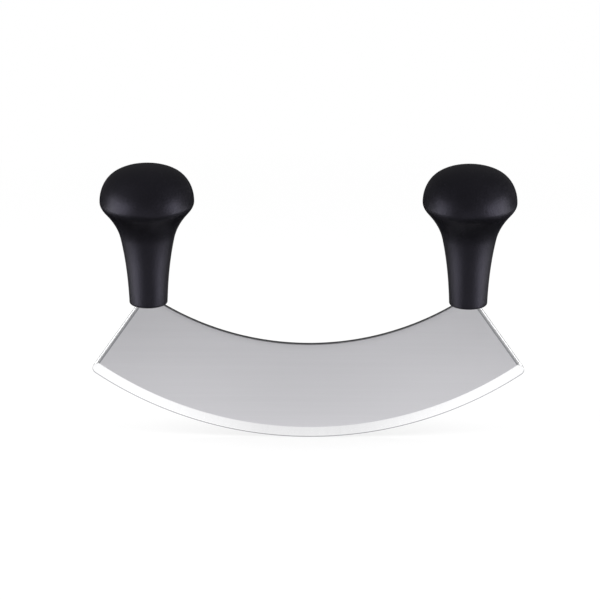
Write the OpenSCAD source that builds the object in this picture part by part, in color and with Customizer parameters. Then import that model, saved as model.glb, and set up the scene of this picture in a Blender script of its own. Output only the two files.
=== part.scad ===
// Mezzaluna: a rocking chopper with one crescent blade and two upright knob handles.
// X runs along the blade, Y across its thickness and Z up.
// The origin is under the middle of the blade, level with the lowest point of its cutting edge.

/* [Blade] */
// Radius of the cutting edge's curve
edge_r = 173.2; // [150:0.2:220]
// Height of the blade at its middle, from the cutting edge to the spine
blade_h = 46.8; // [36:0.1:56]
// Height that the horns climb from the middle of the spine to the handles' feet
horn_rise = 19.7; // [14:0.1:28]
// Thickness of the steel sheet, which the tangs keep
sheet_t = 2.5; // [1.8:0.1:3.2]
// Depth ground off each face of the sheet below the handles
face_grind = 0.05; // [0.02:0.01:0.1]
// Gap between the handles' feet and the line where the ground faces stop
grind_stop = 0.3; // [0.1:0.1:1]
// Slant of the blade's two ends, in degrees from upright
end_slant = 34.8; // [28:0.2:40]
// Radius of the corner where each end meets the cutting edge
tip_r = 2.8; // [0.8:0.1:4]
// Radius that breaks the edges of the spine
spine_round = 0.4; // [0.2:0.05:0.6]
// Width of the eased strip along each end, seen from the front
ease_w = 1.8; // [0.8:0.1:2.4]
// Depth of the eased strip at the end
ease_depth = 0.4; // [0.2:0.05:0.6]

/* [Cutting edge] */
// Width of the bevel that is ground on both faces
bevel_w = 5.4; // [3:0.1:8]
// Width of the honed land along the very edge
land_w = 0.45; // [0.2:0.05:0.8]
// Thickness of the steel where the bevel meets the honed land
land_t = 0.3; // [0.2:0.05:0.5]
// Thickness left at the very edge
edge_t = 0.08; // [0.04:0.01:0.15]

/* [Tangs] */
// Width of each tang
tang_w = 8.6; // [6:0.2:9]
// Length of each tang inside its handle
tang_l = 42; // [30:1:46]
// Radius of the tang's two top corners
tang_round = 2; // [1:0.25:3]
// Width of the shoulder between the spine and the tang, hidden under the handle's foot
tang_step = 2.3; // [0.3:0.1:3]
// Width of the shoulder between the slanted end and the tang, hidden under the handle's foot
end_step = 0.8; // [0.2:0.1:2]
// Diameter of the two lock holes in each tang
lock_hole_d = 4; // [3:0.1:5]
// Height of the lower lock hole above the handle's foot
lock_hole_z = 14; // [10:0.5:17]
// Distance between the two lock holes
lock_hole_pitch = 16; // [10:0.5:20]

/* [Handles] */
// Distance between the axes of the two handles
handle_spacing = 148.6; // [130:0.2:165]
// Diameter of the stem at its foot
foot_d = 17.8; // [16.4:0.2:19]
// Radius of the edge round the foot
foot_edge_r = 1; // [0.5:0.1:2]
// Outward lean of the stem at its foot, in degrees
foot_lean = 2; // [0:0.5:4]
// Diameter at the neck, where the stem begins to flare
neck_d = 24.9; // [22:0.1:28]
// Outward lean at the neck, in degrees
neck_lean = 12.2; // [9:0.1:18]
// Diameter half way up the underside of the knob
under_d = 38.9; // [34:0.1:42]
// Outward lean of the underside of the knob, in degrees
under_lean = 41.6; // [30:0.2:50]
// Diameter of the knob at its widest
knob_d = 43.6; // [42.6:0.2:50]
// Diameter of the ring where the knob turns over into its cap
crown_d = 29.5; // [25:0.1:36]
// Inward lean at that ring, in degrees
crown_lean = 59.2; // [50:0.2:68]

/* [Handle heights] */
// Height of the stem from its foot to the neck
stem_h = 31.9; // [28:0.1:40]
// Height of the flare from the neck to the underside of the knob
flare_h = 12.8; // [10:0.1:18]
// Height from the underside to the widest ring
shoulder_h = 4.8; // [3.5:0.1:8]
// Height from the widest ring to the crown ring
crown_h = 13.5; // [10:0.1:18]
// Height of the cap above the crown ring
cap_h = 3.3; // [2.5:0.1:6]

/* [Handle core] */
// Wall of the outer moulding over the core
knob_wall = 3.2; // [2.4:0.1:3.4]
// Height of the core's lower end above the foot
core_lift = 3; // [2:0.5:6]
// Distance across the two flats that key the core in the outer moulding
key_flats = 9.6; // [8:0.2:10.4]
// Height of those flats
key_h = 18; // [10:1:24]

/* [Hidden] */
$fn = 96;

steel_colour = [0.76, 0.77, 0.79];
knob_colour = [0.12, 0.12, 0.13];
core_colour = [0.30, 0.30, 0.32];

// How far a cutting tool reaches past what it cuts
past = 1;
// How far the tip's corner stands proud of the cutting edge, so that the two curves cross
tip_proud = 0.03;
// Where a rounding curve starts and stops short of lying flat on a face, in degrees
skim = 8;
break_end = 75;
// Straight steps in one round stretch
arc_steps = 8;
curve_steps = 14;

ground_t = sheet_t - 2 * face_grind;
handle_x = handle_spacing / 2;
foot_z = blade_h + horn_rise;
horn_z = foot_z - grind_stop;

// The spine is one arc through its middle and the inner ends of the two shoulders
spine_x = handle_x - tang_w / 2 - tang_step;
spine_climb = horn_z - blade_h;
spine_r = (spine_x * spine_x + spine_climb * spine_climb) / (2 * spine_climb);
spine_centre = blade_h + spine_r;

// Each end is a straight line from the outer end of its shoulder down to the cutting edge
end_top = [handle_x + tang_w / 2 + end_step, horn_z];
end_down = [sin(end_slant), -cos(end_slant)];
end_out = [cos(end_slant), sin(end_slant)];

// The corner at the tip is an arc inside the end line and the cutting edge
tip_start = end_top - tip_r * end_out - [0, edge_r];
tip_reach = edge_r - tip_r + tip_proud;
tip_run = sqrt(pow(tip_start * end_down, 2) - tip_start * tip_start + tip_reach * tip_reach)
    - tip_start * end_down;
tip_centre = tip_start + tip_run * end_down + [0, edge_r];
tip_heading = (tip_centre - [0, edge_r]) / tip_reach;
end_l = tip_run + tip_r;

// The slope of the bevel, as half thickness gained in each millimetre from the edge
bevel_slope = (ground_t - land_t) / 2 / (bevel_w - land_w);

// Rings that the outline of a handle passes through: radius, height and lean from upright
neck_z = stem_h;
under_z = neck_z + flare_h;
widest_z = under_z + shoulder_h;
crown_z = widest_z + crown_h;
handle_h = crown_z + cap_h;
knob_rings = [
    [foot_d / 2, foot_edge_r, foot_lean],
    [neck_d / 2, neck_z, neck_lean],
    [under_d / 2, under_z, under_lean],
    [knob_d / 2, widest_z, 0],
    [crown_d / 2, crown_z, -crown_lean],
    [0, handle_h, -90],
];
core_rings = [
    [foot_d / 2 - knob_wall, core_lift, foot_lean],
    for (i = [1 : len(knob_rings) - 1]) inset(knob_rings[i], knob_wall),
];

// Points along an arc
function arc(centre, r, from, to, steps) =
    [for (i = [0 : steps]) let (a = from + (to - from) * i / steps) centre + r * [cos(a), sin(a)]];

// An outline given for its right side, closed with the same on its left side
function both_sides(points) =
    concat(points, [for (i = [len(points) - 1 : -1 : 0]) [-points[i][0], points[i][1]]]);

// An outline of radius and thickness given for the back face, closed with the same on the front face
function both_faces(points) =
    concat(points, [for (i = [len(points) - 1 : -1 : 0]) [points[i][0], -points[i][1]]]);

// A ring moved inwards, square to the outline
function inset(ring, wall) =
    [ring[0] - wall * cos(ring[2]), ring[1] + wall * sin(ring[2]), ring[2]];

// A smooth curve from one ring to the next that leaves and arrives at their leans
function heading(ring) = [sin(ring[2]), cos(ring[2])];
function place(ring) = [ring[0], ring[1]];
function reach(a, b) = norm(place(b) - place(a)) / (3 * pow(cos((b[2] - a[2]) / 4), 2));
function between(a, b, t) =
    pow(1 - t, 3) * place(a)
    + 3 * t * pow(1 - t, 2) * (place(a) + reach(a, b) * heading(a))
    + 3 * t * t * (1 - t) * (place(b) - reach(a, b) * heading(b))
    + t * t * t * place(b);
function through(rings) = [
    place(rings[0]),
    for (i = [1 : len(rings) - 1], k = [1 : curve_steps]) between(rings[i - 1], rings[i], k / curve_steps),
];

// Repeats a shape at the other end of the blade
module each_end() {
    children();
    mirror([1, 0, 0])
        children();
}

// Repeats a shape on the other face of the blade
module each_face() {
    children();
    mirror([0, 1, 0])
        children();
}

// Turns an outline of radius and thickness into a disc that faces along Y
module disc_across(points) {
    rotate([90, 0, 0])
        rotate_extrude()
            polygon(points);
}

// Extrudes an outline drawn in X and Z to a thickness centred on Y
module sheet(points, thickness) {
    rotate([90, 0, 0])
        translate([0, 0, -thickness / 2])
            linear_extrude(thickness)
                polygon(points);
}

// The crescent blank before its spine and edge are cut: horns, slanted ends and rounded tips
module blade_blank() {
    slant = atan2(end_out[1], end_out[0]);
    edge_heading = atan2(tip_heading[1], tip_heading[0]);
    tip = arc(tip_centre, tip_r, slant, edge_heading, arc_steps);
    below = tip[arc_steps] + past * tip_heading;
    sheet(both_sides(concat([end_top], tip, [below, [below[0], -past]])), ground_t);
}

// Removes the hollow above the spine and breaks both of the spine's edges
module spine_cut() {
    centre = [spine_r + spine_round, ground_t / 2 - spine_round];
    round_over = arc(centre, spine_round, 180, 180 - break_end, arc_steps);
    flare_end = round_over[arc_steps] + 2 * past * [sin(break_end), cos(break_end)];
    translate([0, 0, spine_centre])
        disc_across(both_faces(concat(round_over, [flare_end, [0, flare_end[1]]])));
}

// Removes the sharp corner between one face and the right end
module end_ease() {
    ease_r = (ease_w * ease_w + ease_depth * ease_depth) / (2 * ease_depth);
    ease_turn = asin(ease_w / ease_r);
    curve = arc([-ease_w, ground_t / 2 - ease_r], ease_r, 90 - skim, 90 - ease_turn, arc_steps);
    entry = curve[0] - past * [cos(skim), -sin(skim)];
    exit = curve[arc_steps] + past * [cos(ease_turn), -sin(ease_turn)];
    above = ground_t / 2 + past;
    translate([end_top[0], 0, end_top[1]])
        rotate([0, -end_slant, 0])
            translate([0, 0, -end_l - past])
                linear_extrude(end_l + past)
                    polygon(concat([entry], curve, [exit, [exit[0], above], [entry[0], above]]));
}

// Keeps what is inside the cutting edge and between the two bevels
module edge_grind() {
    wide = ground_t / 2 + past;
    bevel_top = edge_r - land_w - (wide - land_t / 2) / bevel_slope;
    translate([0, 0, edge_r])
        disc_across(both_faces([
            [edge_r, edge_t / 2],
            [edge_r - land_w, land_t / 2],
            [bevel_top, wide],
            [0, wide],
        ]));
}

// The flat strip that a handle is moulded on, from its foot upwards, without its holes
module tang_strip() {
    half = tang_w / 2;
    corner = arc([half - tang_round, tang_l - tang_round], tang_round, 90, 0, arc_steps);
    sheet(both_sides(concat(corner, [[half, -grind_stop]])), sheet_t);
}

// The ground sheet's run into the tang, inside both of them, which makes them one piece
module tang_root() {
    translate([0, 0, -grind_stop])
        cube([tang_w / 2, ground_t, 2 * past], center = true);
}

// The tang with the two holes that the core's plastic flows through
module tang() {
    difference() {
        tang_strip();
        for (i = [0, 1])
            translate([0, 0, lock_hole_z + i * lock_hole_pitch])
                rotate([90, 0, 0])
                    cylinder(d = lock_hole_d, h = sheet_t + 2 * past, center = true);
    }
}

// Stands a shape on the foot of the right handle
module at_handle() {
    translate([handle_x, 0, foot_z])
        children();
}

// The core's full form, with the two flats that stop it turning
module core_form() {
    bottom = place(core_rings[0]);
    difference() {
        rotate_extrude()
            polygon(concat([[0, bottom[1]]], through(core_rings)));
        each_face()
            translate([-foot_d / 2, key_flats / 2, core_lift - past])
                cube([foot_d, foot_d, key_h + past]);
    }
}

// The handle's outer form, a turned knob on a flared stem with a flat foot
module knob_form() {
    foot = arc([foot_d / 2 - foot_edge_r, foot_edge_r], foot_edge_r, -90, -skim, arc_steps);
    rotate_extrude()
        polygon(concat([[0, 0]], foot, through(knob_rings)));
}

module blade() {
    color(steel_colour)
        union() {
            intersection() {
                difference() {
                    blade_blank();
                    spine_cut();
                    each_end()
                        each_face()
                            end_ease();
                }
                edge_grind();
            }
            each_end()
                at_handle() {
                    tang_root();
                    tang();
                }
        }
}

module right_knob_core() {
    color(core_colour)
        at_handle()
            difference() {
                core_form();
                tang();
            }
}

module right_knob() {
    color(knob_colour)
        at_handle()
            difference() {
                knob_form();
                core_form();
                tang_strip();
            }
}

module left_knob_core() {
    mirror([1, 0, 0])
        right_knob_core();
}

module left_knob() {
    mirror([1, 0, 0])
        right_knob();
}

blade();
left_knob_core();
left_knob();
right_knob_core();
right_knob();
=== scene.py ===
# Mezzaluna: a crescent blade of satin stainless sheet between two black moulded knobs.
# X runs along the blade, Y across its thickness towards the back and Z up from the cutting edge.
import math

import bmesh
import bpy
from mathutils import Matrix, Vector


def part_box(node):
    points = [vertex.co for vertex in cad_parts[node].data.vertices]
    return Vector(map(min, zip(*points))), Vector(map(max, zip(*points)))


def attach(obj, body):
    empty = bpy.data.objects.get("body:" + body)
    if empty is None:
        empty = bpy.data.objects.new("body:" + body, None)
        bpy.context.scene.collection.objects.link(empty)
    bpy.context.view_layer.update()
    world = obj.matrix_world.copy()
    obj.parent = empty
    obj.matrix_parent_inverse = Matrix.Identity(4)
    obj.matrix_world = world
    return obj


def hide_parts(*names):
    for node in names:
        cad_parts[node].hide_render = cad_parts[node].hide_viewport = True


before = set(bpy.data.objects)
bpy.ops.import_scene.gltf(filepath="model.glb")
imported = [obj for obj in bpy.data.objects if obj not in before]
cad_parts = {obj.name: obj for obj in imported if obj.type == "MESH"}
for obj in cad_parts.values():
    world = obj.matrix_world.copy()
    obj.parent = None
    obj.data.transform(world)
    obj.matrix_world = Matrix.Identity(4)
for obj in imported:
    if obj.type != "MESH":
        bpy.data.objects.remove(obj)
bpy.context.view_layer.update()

mm = 0.001

# Where the knobs stand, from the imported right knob
knob_low, knob_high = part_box("right_knob")
knob_x = (knob_low.x + knob_high.x) / 2
knob_radius = (knob_high.x - knob_low.x) / 2
foot_z = knob_low.z
knob_top_z = knob_high.z

# The blade's sheet and outline
sheet_half = 1.2 * mm
edge_radius = 173.2 * mm
blade_height = 46.8 * mm
end_slant = math.radians(34.8)
tip_radius = 2.8 * mm
spine_break = 0.4 * mm
ease_width = 1.8 * mm
ease_depth = 0.4 * mm

# The cutting edge, each thickness halved
bevel_width = 5.4 * mm
land_width = 0.45 * mm
land_half = 0.15 * mm
edge_half = 0.04 * mm

# The tangs, which run up into the knobs
tang_width = 8.6 * mm
tang_length = 42 * mm
tang_half = 1.25 * mm
tang_round = 2 * mm
tang_step = 2.3 * mm
end_step = 0.8 * mm
shoulder_gap = 0.3 * mm
lock_hole_radius = 2 * mm
lock_hole_heights = (14 * mm, 30 * mm)

# The knob's outline: radius, height above the foot and lean from upright at each ring
knob_height = knob_top_z - foot_z
foot_round = 1 * mm
knob_rings = (
    (8.9 * mm, foot_round, math.radians(2)),
    (12.45 * mm, 31.9 * mm, math.radians(12.2)),
    (19.45 * mm, 44.7 * mm, math.radians(41.6)),
    (knob_radius, 49.5 * mm, 0.0),
    (14.75 * mm, 63 * mm, math.radians(-59.2)),
    (0.0, knob_height, math.radians(-90)),
)
moulding_wall = 3.2 * mm
core_lift = 3 * mm

# How finely the meshes are made
knob_sides = 128
ring_steps = 22
foot_steps = 6
spine_columns = 96
shoulder_columns = 14
tip_columns = 13
# The columns nearest each end carry painted tones: the outer ones a darker strip, the next two a
# painted shade line
eased_columns = 8
shade_line_columns = 10
round_rows = 5
face_rows = 16
bevel_rows = 10
land_rows = 3
hole_sides = 32
corner_steps = 8
rib_slack = 0.001 * mm

# The shoulder's ribs stop this many insets of the tip's first rib before the blade's end
shoulder_stop = 1.5

# The blade's outline, worked out from these
shoulder_z = foot_z - shoulder_gap
spine_end_x = knob_x - tang_width / 2 - tang_step
spine_climb = shoulder_z - blade_height
spine_radius = (spine_end_x**2 + spine_climb**2) / (2 * spine_climb)
spine_centre = Vector((0, blade_height + spine_radius))
edge_centre = Vector((0, edge_radius))
end_top = Vector((knob_x + tang_width / 2 + end_step, shoulder_z))
end_down = Vector((math.sin(end_slant), -math.cos(end_slant)))
end_out = Vector((math.cos(end_slant), math.sin(end_slant)))
bevel_slope = (sheet_half - land_half) / (bevel_width - land_width)
ease_radius = (ease_width**2 + ease_depth**2) / (2 * ease_depth)


def run_to_circle(start, direction, centre, radius):
    """How far a line runs from a point before it leaves a circle."""
    offset = start - centre
    along = offset.dot(direction)
    return math.sqrt(max(along**2 - offset.length_squared + radius**2, 0)) - along


tip_start = end_top - tip_radius * end_out
tip_run = run_to_circle(tip_start, end_down, edge_centre, edge_radius - tip_radius)
tip_centre = tip_start + tip_run * end_down
tip_heading = (tip_centre - edge_centre).normalized()
tip_turn = math.acos(tip_heading.dot(end_out))


# Mesh helpers


def spread(first, last, steps):
    """Evenly spaced values, both ends included."""
    return [first + (last - first) * i / steps for i in range(steps + 1)]


def finish_mesh(name, bm, materials):
    """Turns a bmesh into an object of the scene with these materials."""
    bmesh.ops.recalc_face_normals(bm, faces=bm.faces)
    mesh = bpy.data.meshes.new(name)
    bm.to_mesh(mesh)
    bm.free()
    piece = bpy.data.objects.new(name, mesh)
    bpy.context.scene.collection.objects.link(piece)
    for material in materials:
        mesh.materials.append(material)
    return piece


# The blade, and its finishes and painted tones by their place in its list of materials

# Painted tones: the bevel lighter than the face, the honed land and the eased ends darker, and a
# shade line near each end
SATIN, GROUND_PAINTED_LIGHT, HONED_PAINTED_DARK, SHEARED_AND_SHADE_LINE, EASED_PAINTED_DARKER = range(5)


def bevel_thickness(depth):
    """Half thickness that the grinding of the edge leaves, by distance from the edge."""
    if depth < land_width:
        return edge_half + (land_half - edge_half) * depth / land_width
    return land_half + bevel_slope * (depth - land_width)


def rounded_drop(inset, width, radius):
    """How much a rounding of this width takes off a face, by distance from its border."""
    reach = max(width - inset, 0)
    return radius - math.sqrt(radius**2 - reach**2)


def half_thickness(point, breaks_spine):
    """Half the blade's thickness at a point of its right half."""
    half = min(sheet_half, bevel_thickness(edge_radius - (point - edge_centre).length))
    inset = (end_top - point).dot(end_out)
    half = min(half, sheet_half - rounded_drop(inset, ease_width, ease_radius))
    if breaks_spine:
        below = max((point - spine_centre).length - spine_radius, 0)
        half = min(half, sheet_half - rounded_drop(below, spine_break, spine_break))
    return half


def blade_ribs():
    """Straight ribs from the spine to the edge, from the middle to the right end.

    Each is its top, its direction down, and whether the spine's edges are broken there.
    """
    spine_turn = math.asin(spine_end_x / spine_radius)
    ribs = []
    for turn in spread(0, spine_turn, spine_columns):
        down = Vector((math.sin(turn), -math.cos(turn)))
        ribs.append((spine_centre + spine_radius * down, down, True))
    insets = [tip_radius * (1 - math.cos(turn)) for turn in spread(tip_turn, 0, tip_columns)]
    last_free = end_top.x - shoulder_stop * insets[0] / math.cos(end_slant)
    for share in spread(0, 1, shoulder_columns)[1:]:
        turn = spine_turn + (end_slant - spine_turn) * share
        top = Vector((spine_end_x + (last_free - spine_end_x) * share, shoulder_z))
        ribs.append((top, Vector((math.sin(turn), -math.cos(turn))), False))
    for inset in insets:
        top = end_top - Vector((inset / math.cos(end_slant), 0))
        ribs.append((top, end_down, False))
    return ribs


def rib_rows(top, down):
    """Distances along a rib at which the mesh has a row, from the edge up to the spine.

    A rib that ends on the tip's round has the rows of its land and bevel closer together.
    """
    inset = (end_top - top).dot(end_out)
    tip_inset = tip_radius * (1 - math.cos(tip_turn))
    if inset < tip_inset + rib_slack and down == end_down:
        length = run_to_circle(top, down, tip_centre, tip_radius)
    else:
        length = run_to_circle(top, down, edge_centre, edge_radius)
    lowest = edge_radius - (top + length * down - edge_centre).length
    depths = spread(0, land_width, land_rows) + spread(land_width, bevel_width, bevel_rows)[1:]
    rows = [length]
    for depth in depths[1:]:
        depth = lowest + depth * (bevel_width - lowest) / bevel_width
        rows.append(run_to_circle(top, down, edge_centre, edge_radius - depth))
    rows += spread(rows[-1], spine_break, face_rows)[1:]
    turns = spread(math.pi / 2, 0, round_rows)[1:]
    rows += [spine_break * (1 - math.cos(turn)) for turn in turns]
    return rows


def row_zone(row, from_end):
    """Which finish or painted tone a quad of the front or back face has, by its row and its count
    from the end.
    """
    if row < land_rows:
        return HONED_PAINTED_DARK
    if row < land_rows + bevel_rows:
        return GROUND_PAINTED_LIGHT
    # Near each end the faces take painted tones: a strip painted darker, then a painted shade line
    if from_end < eased_columns:
        return EASED_PAINTED_DARKER
    return SHEARED_AND_SHADE_LINE if from_end < shade_line_columns else SATIN


def rib_columns(bm):
    """The crescent's points from its left end to its right: front and back, from edge to spine."""
    right_ribs = blade_ribs()
    columns = []
    for side in (-1, 1):
        ribs = right_ribs[:0:-1] if side < 0 else right_ribs
        for top, down, breaks_spine in ribs:
            points = [top + run * down for run in rib_rows(top, down)]
            halves = [half_thickness(point, breaks_spine) for point in points]
            columns.append([
                [bm.verts.new((side * p.x, face * half, p.y)) for p, half in zip(points, halves)]
                for face in (-1, 1)
            ])
    return columns


def lay_faces(bm, columns):
    """The front and back faces, with creases along the land and the bevel."""
    last = len(columns) - 1
    creases = (land_rows, land_rows + bevel_rows)
    for i in range(last):
        from_end = min(i, last - 1 - i)
        for row in range(len(columns[0][0]) - 1):
            for front in (0, 1):
                a, b = columns[i][front], columns[i + 1][front]
                quad = bm.faces.new((a[row], b[row], b[row + 1], a[row + 1]))
                quad.material_index = row_zone(row, from_end)
                quad.smooth = True
                if row in creases:
                    bm.edges.get((a[row], b[row])).smooth = False


def close_border(bm, columns):
    """The wall along the edge, up the right end, back along the spine and down the left end."""
    top_row = len(columns[0][0]) - 1
    border = (
        [(column, 0) for column in columns]
        + [(columns[-1], row) for row in range(1, top_row + 1)]
        + [(column, top_row) for column in reversed(columns[:-1])]
        + [(columns[0], row) for row in range(top_row - 1, 0, -1)]
    )
    for (column, row), (next_column, next_row) in zip(border, border[1:] + border[:1]):
        front, back = column
        next_front, next_back = next_column
        wall = bm.faces.new((front[row], back[row], next_back[next_row], next_front[next_row]))
        # The wall along the cutting edge takes the honed land's painted dark, the other walls the
        # sheared edges' colour
        wall.material_index = HONED_PAINTED_DARK if row == next_row == 0 else SHEARED_AND_SHADE_LINE
        wall.smooth = True
        for a, b in ((front, next_front), (back, next_back)):
            if row != top_row or next_row != top_row:
                bm.edges.get((a[row], b[next_row])).smooth = False


def arc_points(centre, radius, turns):
    """Points of a circle at these turns."""
    x, z = centre
    return [(x + radius * math.cos(turn), z + radius * math.sin(turn)) for turn in turns]


def tang(bm, centre_x):
    """One tang: a flat strip with rounded top corners and two lock holes."""
    half = tang_width / 2
    corner = (half - tang_round, foot_z + tang_length - tang_round)
    outline = [(half, shoulder_z)]
    outline += arc_points(corner, tang_round, spread(0, math.pi / 2, corner_steps))
    outline += [(-x, z) for x, z in reversed(outline)]
    loops = [outline]
    hole_turns = spread(0, 2 * math.pi, hole_sides)[:-1]
    for height in lock_hole_heights:
        loops.append(arc_points((0, foot_z + height), lock_hole_radius, hole_turns))
    rims = []
    for face in (-1, 1):
        edges = []
        for loop in loops:
            ring = [bm.verts.new((centre_x + x, face * tang_half, z)) for x, z in loop]
            edges += [bm.edges.new(pair) for pair in zip(ring, ring[1:] + ring[:1])]
            rims.append(ring)
        filled = bmesh.ops.triangle_fill(bm, use_beauty=True, use_dissolve=False, edges=edges)
        for item in filled["geom"]:
            if isinstance(item, bmesh.types.BMFace):
                item.material_index = SHEARED_AND_SHADE_LINE
    for front, back in zip(rims[: len(loops)], rims[len(loops):]):
        for i in range(len(front)):
            j = (i + 1) % len(front)
            wall = bm.faces.new((front[i], front[j], back[j], back[i]))
            wall.material_index = SHEARED_AND_SHADE_LINE


def make_blade(materials):
    bm = bmesh.new()
    columns = rib_columns(bm)
    lay_faces(bm, columns)
    close_border(bm, columns)
    for side in (-1, 1):
        tang(bm, side * knob_x)
    piece = finish_mesh("blade_steel", bm, materials)
    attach(piece, "root")
    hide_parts("blade")
    return piece


# The knobs


def ring_heading(ring):
    return Vector((math.sin(ring[2]), math.cos(ring[2])))


def ring_place(ring):
    return Vector((ring[0], ring[1]))


def inner_ring(ring):
    """The same ring on the core, one wall further in."""
    radius, height, lean = ring
    return (radius - moulding_wall * math.cos(lean), height + moulding_wall * math.sin(lean), lean)


def between_rings(a, b):
    """Points of a smooth curve that leaves and arrives at the two rings' leans."""
    start, end = ring_place(a), ring_place(b)
    reach = (end - start).length / (3 * math.cos((b[2] - a[2]) / 4) ** 2)
    first, second = start + reach * ring_heading(a), end - reach * ring_heading(b)
    points = []
    for t in spread(0, 1, ring_steps)[1:]:
        near, far = 1 - t, t
        points.append(
            near**3 * start + 3 * near**2 * far * first + 3 * near * far**2 * second + far**3 * end
        )
    return points


def outline_through(rings):
    points = [ring_place(rings[0])]
    for a, b in zip(rings, rings[1:]):
        points += between_rings(a, b)
    return points


def outer_outline():
    """The knob's outline from the middle of its flat foot to the top of its cap."""
    hub = Vector((knob_rings[0][0] - foot_round, foot_round))
    foot = [Vector((0, 0))]
    for turn in spread(-math.pi / 2, 0, foot_steps)[:-1]:
        foot.append(hub + foot_round * Vector((math.cos(turn), math.sin(turn))))
    return foot + outline_through(knob_rings)


def inner_outline():
    """The hollow for the core, from the middle of its floor to the top."""
    foot_ring = (knob_rings[0][0] - moulding_wall, core_lift, knob_rings[0][2])
    rings = [foot_ring] + [inner_ring(ring) for ring in knob_rings[1:]]
    return [Vector((0, core_lift))] + outline_through(rings)


def turn_outline(bm, outline, centre_x):
    """Turns an outline that starts and ends on the axis into a closed surface."""
    def vertex(point, side):
        angle = 2 * math.pi * side / knob_sides
        return bm.verts.new((
            centre_x + point.x * math.cos(angle), point.x * math.sin(angle), foot_z + point.y
        ))
    bottom, top = vertex(outline[0], 0), vertex(outline[-1], 0)
    rings = [[vertex(point, side) for side in range(knob_sides)] for point in outline[1:-1]]
    for side in range(knob_sides):
        after = (side + 1) % knob_sides
        faces = [
            (bottom, rings[0][after], rings[0][side]),
            (top, rings[-1][side], rings[-1][after]),
        ]
        faces += [(a[side], a[after], b[after], b[side]) for a, b in zip(rings, rings[1:])]
        for corners in faces:
            bm.faces.new(corners).smooth = True


def make_knob(name, node, centre_x, material):
    bm = bmesh.new()
    turn_outline(bm, outer_outline(), centre_x)
    turn_outline(bm, inner_outline(), centre_x)
    piece = finish_mesh(name, bm, [material])
    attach(piece, "root")
    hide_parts(node)
    return piece


# Shader helpers

# The parts of each mask's range that the finishes use
fine_range = (0.3, 0.7)
cloud_range = (0.35, 0.65)
blend_range = (0.15, 0.35)


def add_node(tree, kind, values=None, **settings):
    """Adds a node, sets its properties and the values of its inputs."""
    node = tree.nodes.new("ShaderNode" + kind)
    for key, value in settings.items():
        setattr(node, key, value)
    for key, value in (values or {}).items():
        node.inputs[key].default_value = value
    return node


def calculate(tree, operation, first, second=0.0):
    """Adds a maths node. Each operand is a number or another node's output."""
    node = add_node(tree, "Math", operation=operation)
    for socket, operand in zip(node.inputs, (first, second)):
        if isinstance(operand, bpy.types.NodeSocket):
            tree.links.new(operand, socket)
        else:
            socket.default_value = operand
    return node.outputs[0]


def multiply(tree, first, *others):
    """Multiplies the outputs of several nodes."""
    for other in others:
        first = calculate(tree, "MULTIPLY", first, other)
    return first


def remap(tree, value, low, high, to_low, to_high):
    """Adds a map range node that turns one range of values into another."""
    node = add_node(tree, "MapRange", {
        "From Min": low, "From Max": high, "To Min": to_low, "To Max": to_high
    })
    tree.links.new(value, node.inputs["Value"])
    return node.outputs["Result"]


def new_group(name, inputs, outputs):
    """An empty shader node group with named inputs, and with named numbers as its outputs."""
    tree = bpy.data.node_groups.new(name, "ShaderNodeTree")
    for label, kind, value in inputs:
        socket = tree.interface.new_socket(label, in_out="INPUT", socket_type=kind)
        if kind == "NodeSocketFloat":
            socket.default_value = value
    for label in outputs:
        tree.interface.new_socket(label, in_out="OUTPUT", socket_type="NodeSocketFloat")
    return tree, tree.nodes.new("NodeGroupInput").outputs, tree.nodes.new("NodeGroupOutput").inputs


def use_group(tree, group, **values):
    node = tree.nodes.new("ShaderNodeGroup")
    node.node_tree = group
    for key, value in values.items():
        node.inputs[key].default_value = value
    return node


def new_material(name):
    """A material with only its output, and the Principled shader that feeds it."""
    material = bpy.data.materials.new(name)
    material.use_nodes = True
    tree = material.node_tree
    tree.nodes.clear()
    shader = tree.nodes.new("ShaderNodeBsdfPrincipled")
    output = tree.nodes.new("ShaderNodeOutputMaterial")
    tree.links.new(shader.outputs[0], output.inputs["Surface"])
    return material, tree, shader


def noise_at(tree, vector, scale=1.0, detail=2.0, roughness=0.5):
    node = add_node(tree, "TexNoise", {"Scale": scale, "Detail": detail, "Roughness": roughness})
    tree.links.new(vector, node.inputs["Vector"])
    return node.outputs[0]


def vary_colour(tree, shader, colour, change, mask):
    """Lets the colour go from a little darker to a little lighter with a mask."""
    tint = add_node(tree, "Mix", data_type="RGBA")
    tint.inputs["A"].default_value = (*[c * (1 - change) for c in colour], 1)
    tint.inputs["B"].default_value = (*[min(c * (1 + change), 1) for c in colour], 1)
    tree.links.new(mask, tint.inputs["Factor"])
    tree.links.new(tint.outputs["Result"], shader.inputs["Base Color"])


def vary_roughness(tree, shader, roughness, fine, fine_change, clouds, cloud_change):
    """Lets the roughness change with a fine mask and with faint clouds."""
    rough = remap(tree, fine, *fine_range, roughness - fine_change, roughness + fine_change)
    smear = remap(tree, clouds, *cloud_range, -cloud_change, cloud_change)
    tree.links.new(calculate(tree, "ADD", rough, smear), shader.inputs["Roughness"])


def raise_relief(tree, shader, mask, depth):
    """Lets a mask stand out of the surface by this depth."""
    bump = add_node(tree, "Bump", {"Strength": 1.0, "Distance": depth})
    tree.links.new(mask, bump.inputs["Height"])
    tree.links.new(bump.outputs[0], shader.inputs["Normal"])


# Effects that more than one material uses

# Each kind of grinding mark: how many times longer and wider it is, and its noise's detail
mark_kinds = (("Fine", 1, 1, 3.0), ("Streaks", 4, 9, 2.0))

# The sheen of the plastic changes this much more slowly than its grain
sheen_scale = 0.02


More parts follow.
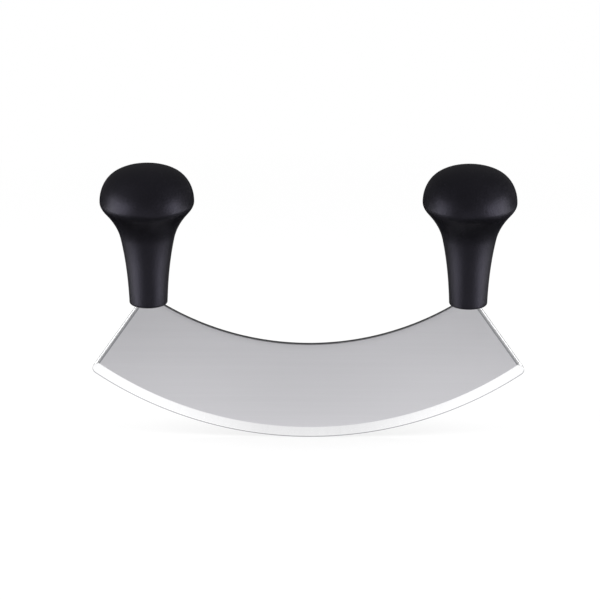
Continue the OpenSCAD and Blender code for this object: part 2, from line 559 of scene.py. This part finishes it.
def make_grinding_marks():
    """Long thin marks of a belt: fine ones, and broader streaks among them."""
    tree, inputs, outputs = new_group(
        "grinding marks",
        [
            ("Along and Across", "NodeSocketVector", None),
            ("Mark Length", "NodeSocketFloat", 0.03),
            ("Mark Width", "NodeSocketFloat", 0.0002),
        ],
        ["Fine", "Streaks"],
    )
    split = add_node(tree, "SeparateXYZ")
    tree.links.new(inputs["Along and Across"], split.inputs[0])
    for label, longer, wider, detail in mark_kinds:
        join = add_node(tree, "CombineXYZ")
        along = calculate(tree, "DIVIDE", split.outputs["X"], inputs["Mark Length"])
        across = calculate(tree, "DIVIDE", split.outputs["Y"], inputs["Mark Width"])
        tree.links.new(calculate(tree, "DIVIDE", along, longer), join.inputs["X"])
        tree.links.new(calculate(tree, "DIVIDE", across, wider), join.inputs["Y"])
        tree.links.new(split.outputs["Z"], join.inputs["Z"])
        tree.links.new(noise_at(tree, join.outputs[0], detail=detail), outputs[label])
    return tree


def make_handling():
    """Faint broad clouds that fingers and wiping leave on a surface."""
    tree, inputs, outputs = new_group(
        "handling",
        [("Place", "NodeSocketVector", None), ("Cloud Size", "NodeSocketFloat", 0.02)],
        ["Clouds"],
    )
    scale = add_node(tree, "VectorMath", operation="SCALE")
    tree.links.new(inputs["Place"], scale.inputs[0])
    tree.links.new(calculate(tree, "DIVIDE", 1.0, inputs["Cloud Size"]), scale.inputs["Scale"])
    clouds = noise_at(tree, scale.outputs[0], detail=4.0, roughness=0.55)
    tree.links.new(clouds, outputs["Clouds"])
    return tree


def make_moulded_skin():
    """The fine texture that spark erosion gives a mould, and slow changes of the sheen."""
    tree, inputs, outputs = new_group(
        "moulded skin",
        [("Place", "NodeSocketVector", None), ("Grain Size", "NodeSocketFloat", 0.0003)],
        ["Grain", "Sheen"],
    )
    scale = add_node(tree, "VectorMath", operation="SCALE")
    tree.links.new(inputs["Place"], scale.inputs[0])
    tree.links.new(calculate(tree, "DIVIDE", 1.0, inputs["Grain Size"]), scale.inputs["Scale"])
    grain = noise_at(tree, scale.outputs[0], detail=3.0, roughness=0.6)
    sheen = noise_at(tree, scale.outputs[0], scale=sheen_scale, detail=3.0)
    tree.links.new(grain, outputs["Grain"])
    tree.links.new(sheen, outputs["Sheen"])
    return tree


grinding_marks = make_grinding_marks()
handling = make_handling()
moulded_skin = make_moulded_skin()


# The blade's finishes, some with painted light or shade in their colour

steel_colour_change = 0.01
steel_roughness_change = 0.02
steel_cloud_size = 18 * mm


def place_on_blade(tree):
    """The place on the blade, and its distances along and across marks that run lengthwise."""
    place = add_node(tree, "TexCoord").outputs["Object"]
    split, join = add_node(tree, "SeparateXYZ"), add_node(tree, "CombineXYZ")
    tree.links.new(place, split.inputs[0])
    tree.links.new(split.outputs["X"], join.inputs["X"])
    tree.links.new(split.outputs["Z"], join.inputs["Y"])
    tree.links.new(split.outputs["Y"], join.inputs["Z"])
    return place, join.outputs[0]


def place_along_edge(tree):
    """The place on the blade, and its distances along and across marks that run off the edge."""
    place = add_node(tree, "TexCoord").outputs["Object"]
    split, join = add_node(tree, "SeparateXYZ"), add_node(tree, "CombineXYZ")
    tree.links.new(place, split.inputs[0])
    below = calculate(tree, "SUBTRACT", edge_radius, split.outputs["Z"])
    turn = calculate(tree, "ARCTAN2", split.outputs["X"], below)
    sideways_square = multiply(tree, split.outputs["X"], split.outputs["X"])
    below_square = multiply(tree, below, below)
    radius = calculate(tree, "SQRT", calculate(tree, "ADD", sideways_square, below_square))
    tree.links.new(radius, join.inputs["X"])
    tree.links.new(multiply(tree, turn, edge_radius), join.inputs["Y"])
    tree.links.new(split.outputs["Y"], join.inputs["Z"])
    return place, join.outputs[0]


def make_steel(name, colour, roughness, marks, depth, cloud_depth, along_edge=False):
    """Stainless steel with grinding marks in its colour, roughness and relief.

    marks is the length and width of one mark, depth its height, and cloud_depth how much handling
    changes the roughness.
    """
    material, tree, shader = new_material(name)
    shader.inputs["Metallic"].default_value = 1.0
    place, along_and_across = place_along_edge(tree) if along_edge else place_on_blade(tree)
    lines = use_group(tree, grinding_marks, **{"Mark Length": marks[0], "Mark Width": marks[1]})
    tree.links.new(along_and_across, lines.inputs["Along and Across"])
    hands = use_group(tree, handling, **{"Cloud Size": steel_cloud_size})
    tree.links.new(place, hands.inputs["Place"])
    fine, clouds = lines.outputs["Fine"], hands.outputs["Clouds"]
    blend = remap(tree, multiply(tree, lines.outputs["Streaks"], fine), *blend_range, 0, 1)
    vary_colour(tree, shader, colour, steel_colour_change, blend)
    vary_roughness(tree, shader, roughness, fine, steel_roughness_change, clouds, cloud_depth)
    raise_relief(tree, shader, fine, depth)
    return material


blade_finishes_and_painted_tones = [
    make_steel("satin steel", (0.775, 0.769, 0.80), 0.34, (40 * mm, 0.25 * mm), 0.0014 * mm, 0.02),
    # Ground bevel: painted lighter than the satin face, a painted highlight for its bright
    # reflection of the floor
    make_steel(
        "ground bevel painted light", (0.93, 0.93, 0.94), 0.22, (6 * mm, 0.3 * mm), 0.002 * mm, 0.01,
        along_edge=True,
    ),
    # Honed edge: painted dark, a painted shade line along the cutting edge
    make_steel(
        "honed edge painted dark", (0.40, 0.40, 0.42), 0.18, (3 * mm, 0.15 * mm), 0.001 * mm, 0.01,
        along_edge=True,
    ),
    # Sheared edges: the walls' colour, and also a painted shade line on the faces near each end
    make_steel("sheared edges and shade line", (0.42, 0.43, 0.45), 0.30, (8 * mm, 0.2 * mm), 0.002 * mm, 0.02),
    # Eased ends: painted darker than the face, so that their bright reflection stays below white
    make_steel("eased ends painted darker", (0.58, 0.58, 0.59), 0.30, (8 * mm, 0.2 * mm), 0.001 * mm, 0.01),
]


# The plastics

plastic_specular = 0.3
plastic_specular_tint = (0.79, 0.75, 1, 1)
plastic_colour_change = 0.12
plastic_roughness_change = 0.04
plastic_cloud_change = 0.025
plastic_cloud_size = 14 * mm


def make_plastic(name, colour, roughness, grain_size, grain_depth):
    """Dark moulded plastic with the fine texture of its mould."""
    material, tree, shader = new_material(name)
    shader.inputs["Specular IOR Level"].default_value = plastic_specular
    shader.inputs["Specular Tint"].default_value = plastic_specular_tint
    place = add_node(tree, "TexCoord").outputs["Object"]
    skin = use_group(tree, moulded_skin, **{"Grain Size": grain_size})
    hands = use_group(tree, handling, **{"Cloud Size": plastic_cloud_size})
    tree.links.new(place, skin.inputs["Place"])
    tree.links.new(place, hands.inputs["Place"])
    grain, clouds = skin.outputs["Grain"], hands.outputs["Clouds"]
    sheen = remap(tree, skin.outputs["Sheen"], *cloud_range, 0, 1)
    vary_colour(tree, shader, colour, plastic_colour_change, sheen)
    vary_roughness(
        tree, shader, roughness, grain, plastic_roughness_change, clouds, plastic_cloud_change
    )
    raise_relief(tree, shader, grain, grain_depth)
    return material


knob_plastic = make_plastic("knob plastic", (0.0057, 0.0055, 0.007), 0.38, 0.8 * mm, 0.1 * mm)
core_plastic = make_plastic("core plastic", (0.08, 0.08, 0.085), 0.6, 0.6 * mm, 0.01 * mm)


# The pieces

blade = make_blade(blade_finishes_and_painted_tones)
knobs = [
    make_knob("left_knob_moulding", "left_knob", -knob_x, knob_plastic),
    make_knob("right_knob_moulding", "right_knob", knob_x, knob_plastic),
]
for core_name in ("left_knob_core", "right_knob_core"):
    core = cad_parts[core_name]
    core.data.materials.clear()
    core.data.materials.append(core_plastic)


# The stage

# The floor, with the share of plain glow in its white. Away from the middle the share grows to the
# whole between two distances, so that the faint shadow fades into the background.
floor_size = 3.0
floor_white = 0.8
floor_fill = 0.75
fill_near, fill_far = 0.15, 0.5

# How bright the floor looks in the steel, near the blade's plane and far from it
glow_near, glow_far, glow_reach = 0.8, 0.56, 0.3

# It is brighter close under the cutting edge, and darker beyond the blade's two ends
edge_gain, edge_reach = 1.15, 0.03
ends_from, ends_to, ends_glow = 0.055, 0.1, 0.85

# The bevel looks down on it from close by and more steeply than the faces do: a ray is steep by its
# length over its way out from the blade's plane
bevel_steep_from, bevel_steep_to = 1.1, 1.2
bevel_near, bevel_beyond = 0.06, 0.1
bevel_from, bevel_to, bevel_glow = 0.02, 0.09, 1.46
least_way_out = 1 * mm

# The floor that the knobs show lies this far above the floor itself
knob_floor_lift = 0.1 * mm

# How bright it looks in them, near the blade's plane and far from it
knob_glow_near, knob_glow_far = 0.25, 0.78

# A ray's excess is what it is longer than its way out from the blade's plane times this slope. It
# grows when the ray comes down steeply or goes aside, and the glow fades out with it.
ray_slope = 1.06
steep_from, steep_to = 0.018, 0.036

# Behind the blade it is dark to long rays, which come from the rims of the knobs
behind_front, behind_back = -0.06, 0
behind_from, behind_to, behind_glow = 0.19, 0.29, 0.07

# The bright streak beside the blade that the sides of the knobs show: its reach in depth, and its
# strength from the inside to the outside
streak_front_from, streak_front_to = -0.19, -0.09
streak_back_from, streak_back_to = -0.03, 0.18
streak_inside, streak_outside = 0.12, 0.2
streak_inner, streak_outer = 4.5, 5.9

# It is for rays with some excess that come from far enough, and at the back from further still
aside_from, aside_to = 0.018, 0.04
far_from, far_to = 0.14, 0.165
lean_from, lean_to, lean_by = -0.06, 0.04, 0.075

# Of these it is for rays that start no higher than the stems. A ray that is too short to come from
# one knob, beyond the slack, comes from the other.
stem_low, stem_high, stem_slack = 0.068, 0.088, 0.03

# The plain light of the world, and the tent over the set. The tent's glow changes upwards and
# towards the back, each between two shares of its radius.
world_light = 0.35
tent_radius = 0.9
tent_front, tent_top, tent_back = 0.3, 0.14, 0.09
tent_rise_from, tent_rise_to = 0.1, 0.4
tent_back_from, tent_back_to = -0.3, 0.1
tent_lowest, tent_highest = 0.001, 0.499 * math.pi
tent_sides, tent_rows = 48, 16

# The bright panels and the soft boxes, one on each side
panel_aside = 0.3
panel_depths = (-0.3, 0.01)
panel_heights = (0.03, 0.17)
panel_glow = 3.8
box_aside, box_depth, box_height = 0.7, -0.1, 0.6
box_target = Vector((0, 0, 0.09))
box_size = (0.7, 0.6)
box_power = 9


def make_sheet(name, rows, material):
    """A grid of stage surface given as rows of points."""
    bm = bmesh.new()
    grid = [[bm.verts.new(point) for point in row] for row in rows]
    for a, b in zip(grid, grid[1:]):
        for i in range(len(a) - 1):
            bm.faces.new((a[i], a[i + 1], b[i + 1], b[i])).smooth = True
    mesh = bpy.data.meshes.new(name)
    bm.to_mesh(mesh)
    bm.free()
    mesh.materials.append(material)
    sheet = bpy.data.objects.new(name, mesh)
    bpy.context.scene.collection.objects.link(sheet)
    return sheet


def make_floor_sheet(name, height, material):
    """A level sheet as large as the floor."""
    half = floor_size / 2
    rows = [[(x, y, height) for x in (-half, half)] for y in (-half, half)]
    return make_sheet(name, rows, material)


def only_in_reflections(sheet):
    sheet.visible_camera = False
    sheet.visible_diffuse = False
    sheet.visible_shadow = False


def new_stage_material(name):
    material = bpy.data.materials.new(name)
    material.use_nodes = True
    tree = material.node_tree
    tree.nodes.clear()
    return material, tree, tree.nodes.new("ShaderNodeOutputMaterial").inputs["Surface"]


def white_glow(tree, strength=1.0):
    return add_node(tree, "Emission", {"Color": (1, 1, 1, 1), "Strength": strength})


def seen_mask(tree):
    """1 for what the camera sees, straight on or in metal and glass."""
    path = add_node(tree, "LightPath").outputs
    seen = calculate(tree, "MAXIMUM", path["Is Camera Ray"], path["Is Glossy Ray"])
    return calculate(tree, "MAXIMUM", seen, path["Is Transmission Ray"])


def floor_places(tree, place):
    """Depth, distance from the blade's plane, distance sideways, and how far the ray came."""
    split = add_node(tree, "SeparateXYZ")
    tree.links.new(place, split.inputs[0])
    depth = split.outputs["Y"]
    off_plane = calculate(tree, "ABSOLUTE", depth)
    sideways = calculate(tree, "ABSOLUTE", split.outputs["X"])
    return depth, off_plane, sideways, add_node(tree, "LightPath").outputs["Ray Length"]


def floor_in_steel(tree, place):
    """How bright the floor looks in the blade: it fades away from the blade's plane."""
    _, off_plane, sideways, ray = floor_places(tree, place)
    glow = remap(tree, off_plane, 0, glow_reach, glow_near, glow_far)
    glow = multiply(tree, glow, remap(tree, off_plane, 0, edge_reach, edge_gain, 1))
    steep = calculate(tree, "DIVIDE", ray, calculate(tree, "MAXIMUM", off_plane, least_way_out))
    on_bevel = multiply(
        tree,
        remap(tree, steep, bevel_steep_from, bevel_steep_to, 0, 1),
        remap(tree, ray, bevel_near, bevel_beyond, 1, 0),
    )
    for_faces = remap(tree, sideways, ends_from, ends_to, 1, ends_glow)
    for_bevel = remap(tree, sideways, bevel_from, bevel_to, 1, bevel_glow)
    more = multiply(tree, on_bevel, calculate(tree, "SUBTRACT", for_bevel, for_faces))
    return multiply(tree, glow, calculate(tree, "ADD", for_faces, more))


def from_stem(tree, sideways, depth, ray, axis):
    """1 for rays from no higher than the stems, if they came from the knob with this axis."""
    across = calculate(tree, "SUBTRACT", sideways, axis)
    along_floor_square = calculate(
        tree, "ADD", multiply(tree, across, across), multiply(tree, depth, depth)
    )
    height_square = calculate(tree, "SUBTRACT", multiply(tree, ray, ray), along_floor_square)
    return multiply(
        tree,
        remap(tree, height_square, stem_low**2, stem_high**2, 1, 0),
        remap(tree, height_square, -(stem_slack**2), 0, 0, 1),
    )


def floor_in_knobs(tree, place):
    """How bright the floor looks in the knobs.

    Their undersides, which look down on it steeply, show it in shade. Their sides show a bright
    streak beside the blade.
    """
    depth, off_plane, sideways, ray = floor_places(tree, place)
    excess = calculate(tree, "SUBTRACT", ray, multiply(tree, off_plane, ray_slope))
    behind = calculate(
        tree, "MAXIMUM",
        remap(tree, ray, behind_from, behind_to, 1, behind_glow),
        remap(tree, depth, behind_front, behind_back, 1, 0),
    )
    glow = multiply(
        tree,
        remap(tree, off_plane, 0, glow_reach, knob_glow_near, knob_glow_far),
        behind,
        remap(tree, excess, steep_from, steep_to, 1, 0),
    )

    beside_blade = calculate(
        tree, "MINIMUM",
        remap(tree, depth, streak_front_from, streak_front_to, 0, 1),
        remap(tree, depth, streak_back_from, streak_back_to, 1, 0),
    )
    lean = remap(tree, depth, lean_from, lean_to, 0, lean_by)
    far = remap(tree, calculate(tree, "SUBTRACT", ray, lean), far_from, far_to, 0, 1)
    aside = remap(tree, excess, aside_from, aside_to, 0, 1)
    stems = [from_stem(tree, sideways, depth, ray, axis) for axis in (knob_x, -knob_x)]
    stem = calculate(tree, "MAXIMUM", *stems)
    strength = remap(tree, sideways, streak_inside, streak_outside, streak_inner, streak_outer)
    streak = multiply(tree, beside_blade, far, aside, stem, strength)
    return calculate(tree, "ADD", glow, streak)


def make_floor():
    """A pale floor that keeps a faint shadow and fades to the white background."""
    material, tree, surface = new_stage_material("pale floor")
    diffuse = add_node(tree, "BsdfDiffuse", {"Color": (floor_white, floor_white, floor_white, 1)})
    glow = white_glow(tree)
    place = add_node(tree, "TexCoord").outputs["Object"]
    distance = add_node(tree, "VectorMath", operation="LENGTH")
    tree.links.new(place, distance.inputs[0])
    path = add_node(tree, "LightPath").outputs
    dimming = calculate(tree, "SUBTRACT", 1.0, floor_in_steel(tree, place))
    dimming = multiply(tree, path["Is Glossy Ray"], dimming)
    tree.links.new(calculate(tree, "SUBTRACT", 1.0, dimming), glow.inputs["Strength"])
    filled = remap(tree, distance.outputs["Value"], fill_near, fill_far, floor_fill, 1)
    filled = calculate(tree, "MAXIMUM", filled, path["Is Glossy Ray"])
    mix = add_node(tree, "MixShader")
    tree.links.new(multiply(tree, filled, seen_mask(tree)), mix.inputs[0])
    tree.links.new(diffuse.outputs[0], mix.inputs[1])
    tree.links.new(glow.outputs[0], mix.inputs[2])
    tree.links.new(mix.outputs[0], surface)
    return make_floor_sheet("floor", 0, material)


def new_clear_glow(name):
    """A glow that hides nothing behind it."""
    material, tree, surface = new_stage_material(name)
    glow = white_glow(tree)
    both = add_node(tree, "AddShader")
    tree.links.new(glow.outputs[0], both.inputs[0])
    tree.links.new(add_node(tree, "BsdfTransparent").outputs[0], both.inputs[1])
    tree.links.new(both.outputs[0], surface)
    return material, tree, glow.inputs["Strength"]


def shown_on(source, pieces):
    """Only these pieces show this source's light."""
    lit = bpy.data.collections.new(source.name + "_lights")
    for piece in pieces:
        lit.objects.link(piece)
    source.light_linking.receiver_collection = lit


def make_knob_floor():
    """The floor as the knobs show it, lying on the floor itself."""
    material, tree, strength = new_clear_glow("floor in knobs")
    place = add_node(tree, "TexCoord").outputs["Object"]
    tree.links.new(floor_in_knobs(tree, place), strength)
    sheet = make_floor_sheet("floor_in_knobs", knob_floor_lift, material)
    only_in_reflections(sheet)
    return sheet


def make_world():
    """White to the camera and in reflections, and a soft plain light on the object."""
    world = bpy.data.worlds.new("studio")
    bpy.context.scene.world = world
    world.use_nodes = True
    tree = world.node_tree
    background = tree.nodes["Background"]
    background.inputs["Color"].default_value = (1, 1, 1, 1)
    strength = remap(tree, seen_mask(tree), 0, 1, world_light, 1)
    tree.links.new(strength, background.inputs["Strength"])


def make_tent():
    """A dim tent over the set that only reflections show, darker above and behind the part."""
    material, tree, surface = new_stage_material("tent cloth")
    split = add_node(tree, "SeparateXYZ")
    tree.links.new(add_node(tree, "TexCoord").outputs["Object"], split.inputs[0])
    glow = white_glow(tree)
    rise_from, rise_to = tent_rise_from * tent_radius, tent_rise_to * tent_radius
    back_from, back_to = tent_back_from * tent_radius, tent_back_to * tent_radius
    above = remap(tree, split.outputs["Z"], rise_from, rise_to, tent_front, tent_top)
    behind = remap(tree, split.outputs["Y"], back_from, back_to, tent_front, tent_back)
    tree.links.new(calculate(tree, "MINIMUM", above, behind), glow.inputs["Strength"])
    tree.links.new(glow.outputs[0], surface)
    rows = []
    for rise in spread(tent_lowest, tent_highest, tent_rows):
        ring, height = tent_radius * math.cos(rise), tent_radius * math.sin(rise)
        turns = spread(0, 2 * math.pi, tent_sides)
        rows.append([(ring * math.cos(turn), ring * math.sin(turn), height) for turn in turns])
    only_in_reflections(make_sheet("tent", rows, material))


def make_side_panel(name, side):
    """A bright low panel beside the set that only reflections show."""
    material, tree, surface = new_stage_material(name)
    tree.links.new(white_glow(tree, panel_glow).outputs[0], surface)
    rows = [[(side * panel_aside, y, z) for y in panel_depths] for z in panel_heights]
    only_in_reflections(make_sheet(name, rows, material))


def make_soft_box(name, side):
    """A wide soft lamp above one side of the set, turned to the part."""
    lamp = bpy.data.lights.new(name, "AREA")
    lamp.shape = "RECTANGLE"
    lamp.size, lamp.size_y = box_size
    lamp.energy = box_power
    box = bpy.data.objects.new(name, lamp)
    box.location = (side * box_aside, box_depth, box_height)
    box.rotation_euler = (box_target - box.location).to_track_quat("-Z", "Y").to_euler()
    box.visible_camera = False
    box.visible_glossy = False
    bpy.context.scene.collection.objects.link(box)


shown_on(make_floor(), [blade])
shown_on(make_knob_floor(), knobs)
make_world()
make_tent()
for side, label in ((-1, "left"), (1, "right")):
    make_side_panel("side_panel_" + label, side)
    make_soft_box("soft_box_" + label, side)


# The camera, at the photograph's height and distance and slightly to the right

camera_rise = math.radians(18.8)
camera_turn = math.radians(0.7)
camera_distance = 1.4
aim = Vector((-3.84 * mm, 0, 68.21 * mm))
seen_width = 279 * mm
sensor_width = 36

camera = bpy.data.objects.new("camera", bpy.data.cameras.new("camera"))
camera.data.sensor_width = sensor_width
camera.data.lens = sensor_width * camera_distance / seen_width
level = Vector((math.sin(camera_turn), -math.cos(camera_turn), 0))
away = math.cos(camera_rise) * level + Vector((0, 0, math.sin(camera_rise)))
camera.location = aim + camera_distance * away
camera.rotation_euler = (-away).to_track_quat("-Z", "Y").to_euler()
bpy.context.scene.collection.objects.link(camera)
bpy.context.scene.camera = camera
bpy.context.scene.view_settings.view_transform = "Standard"
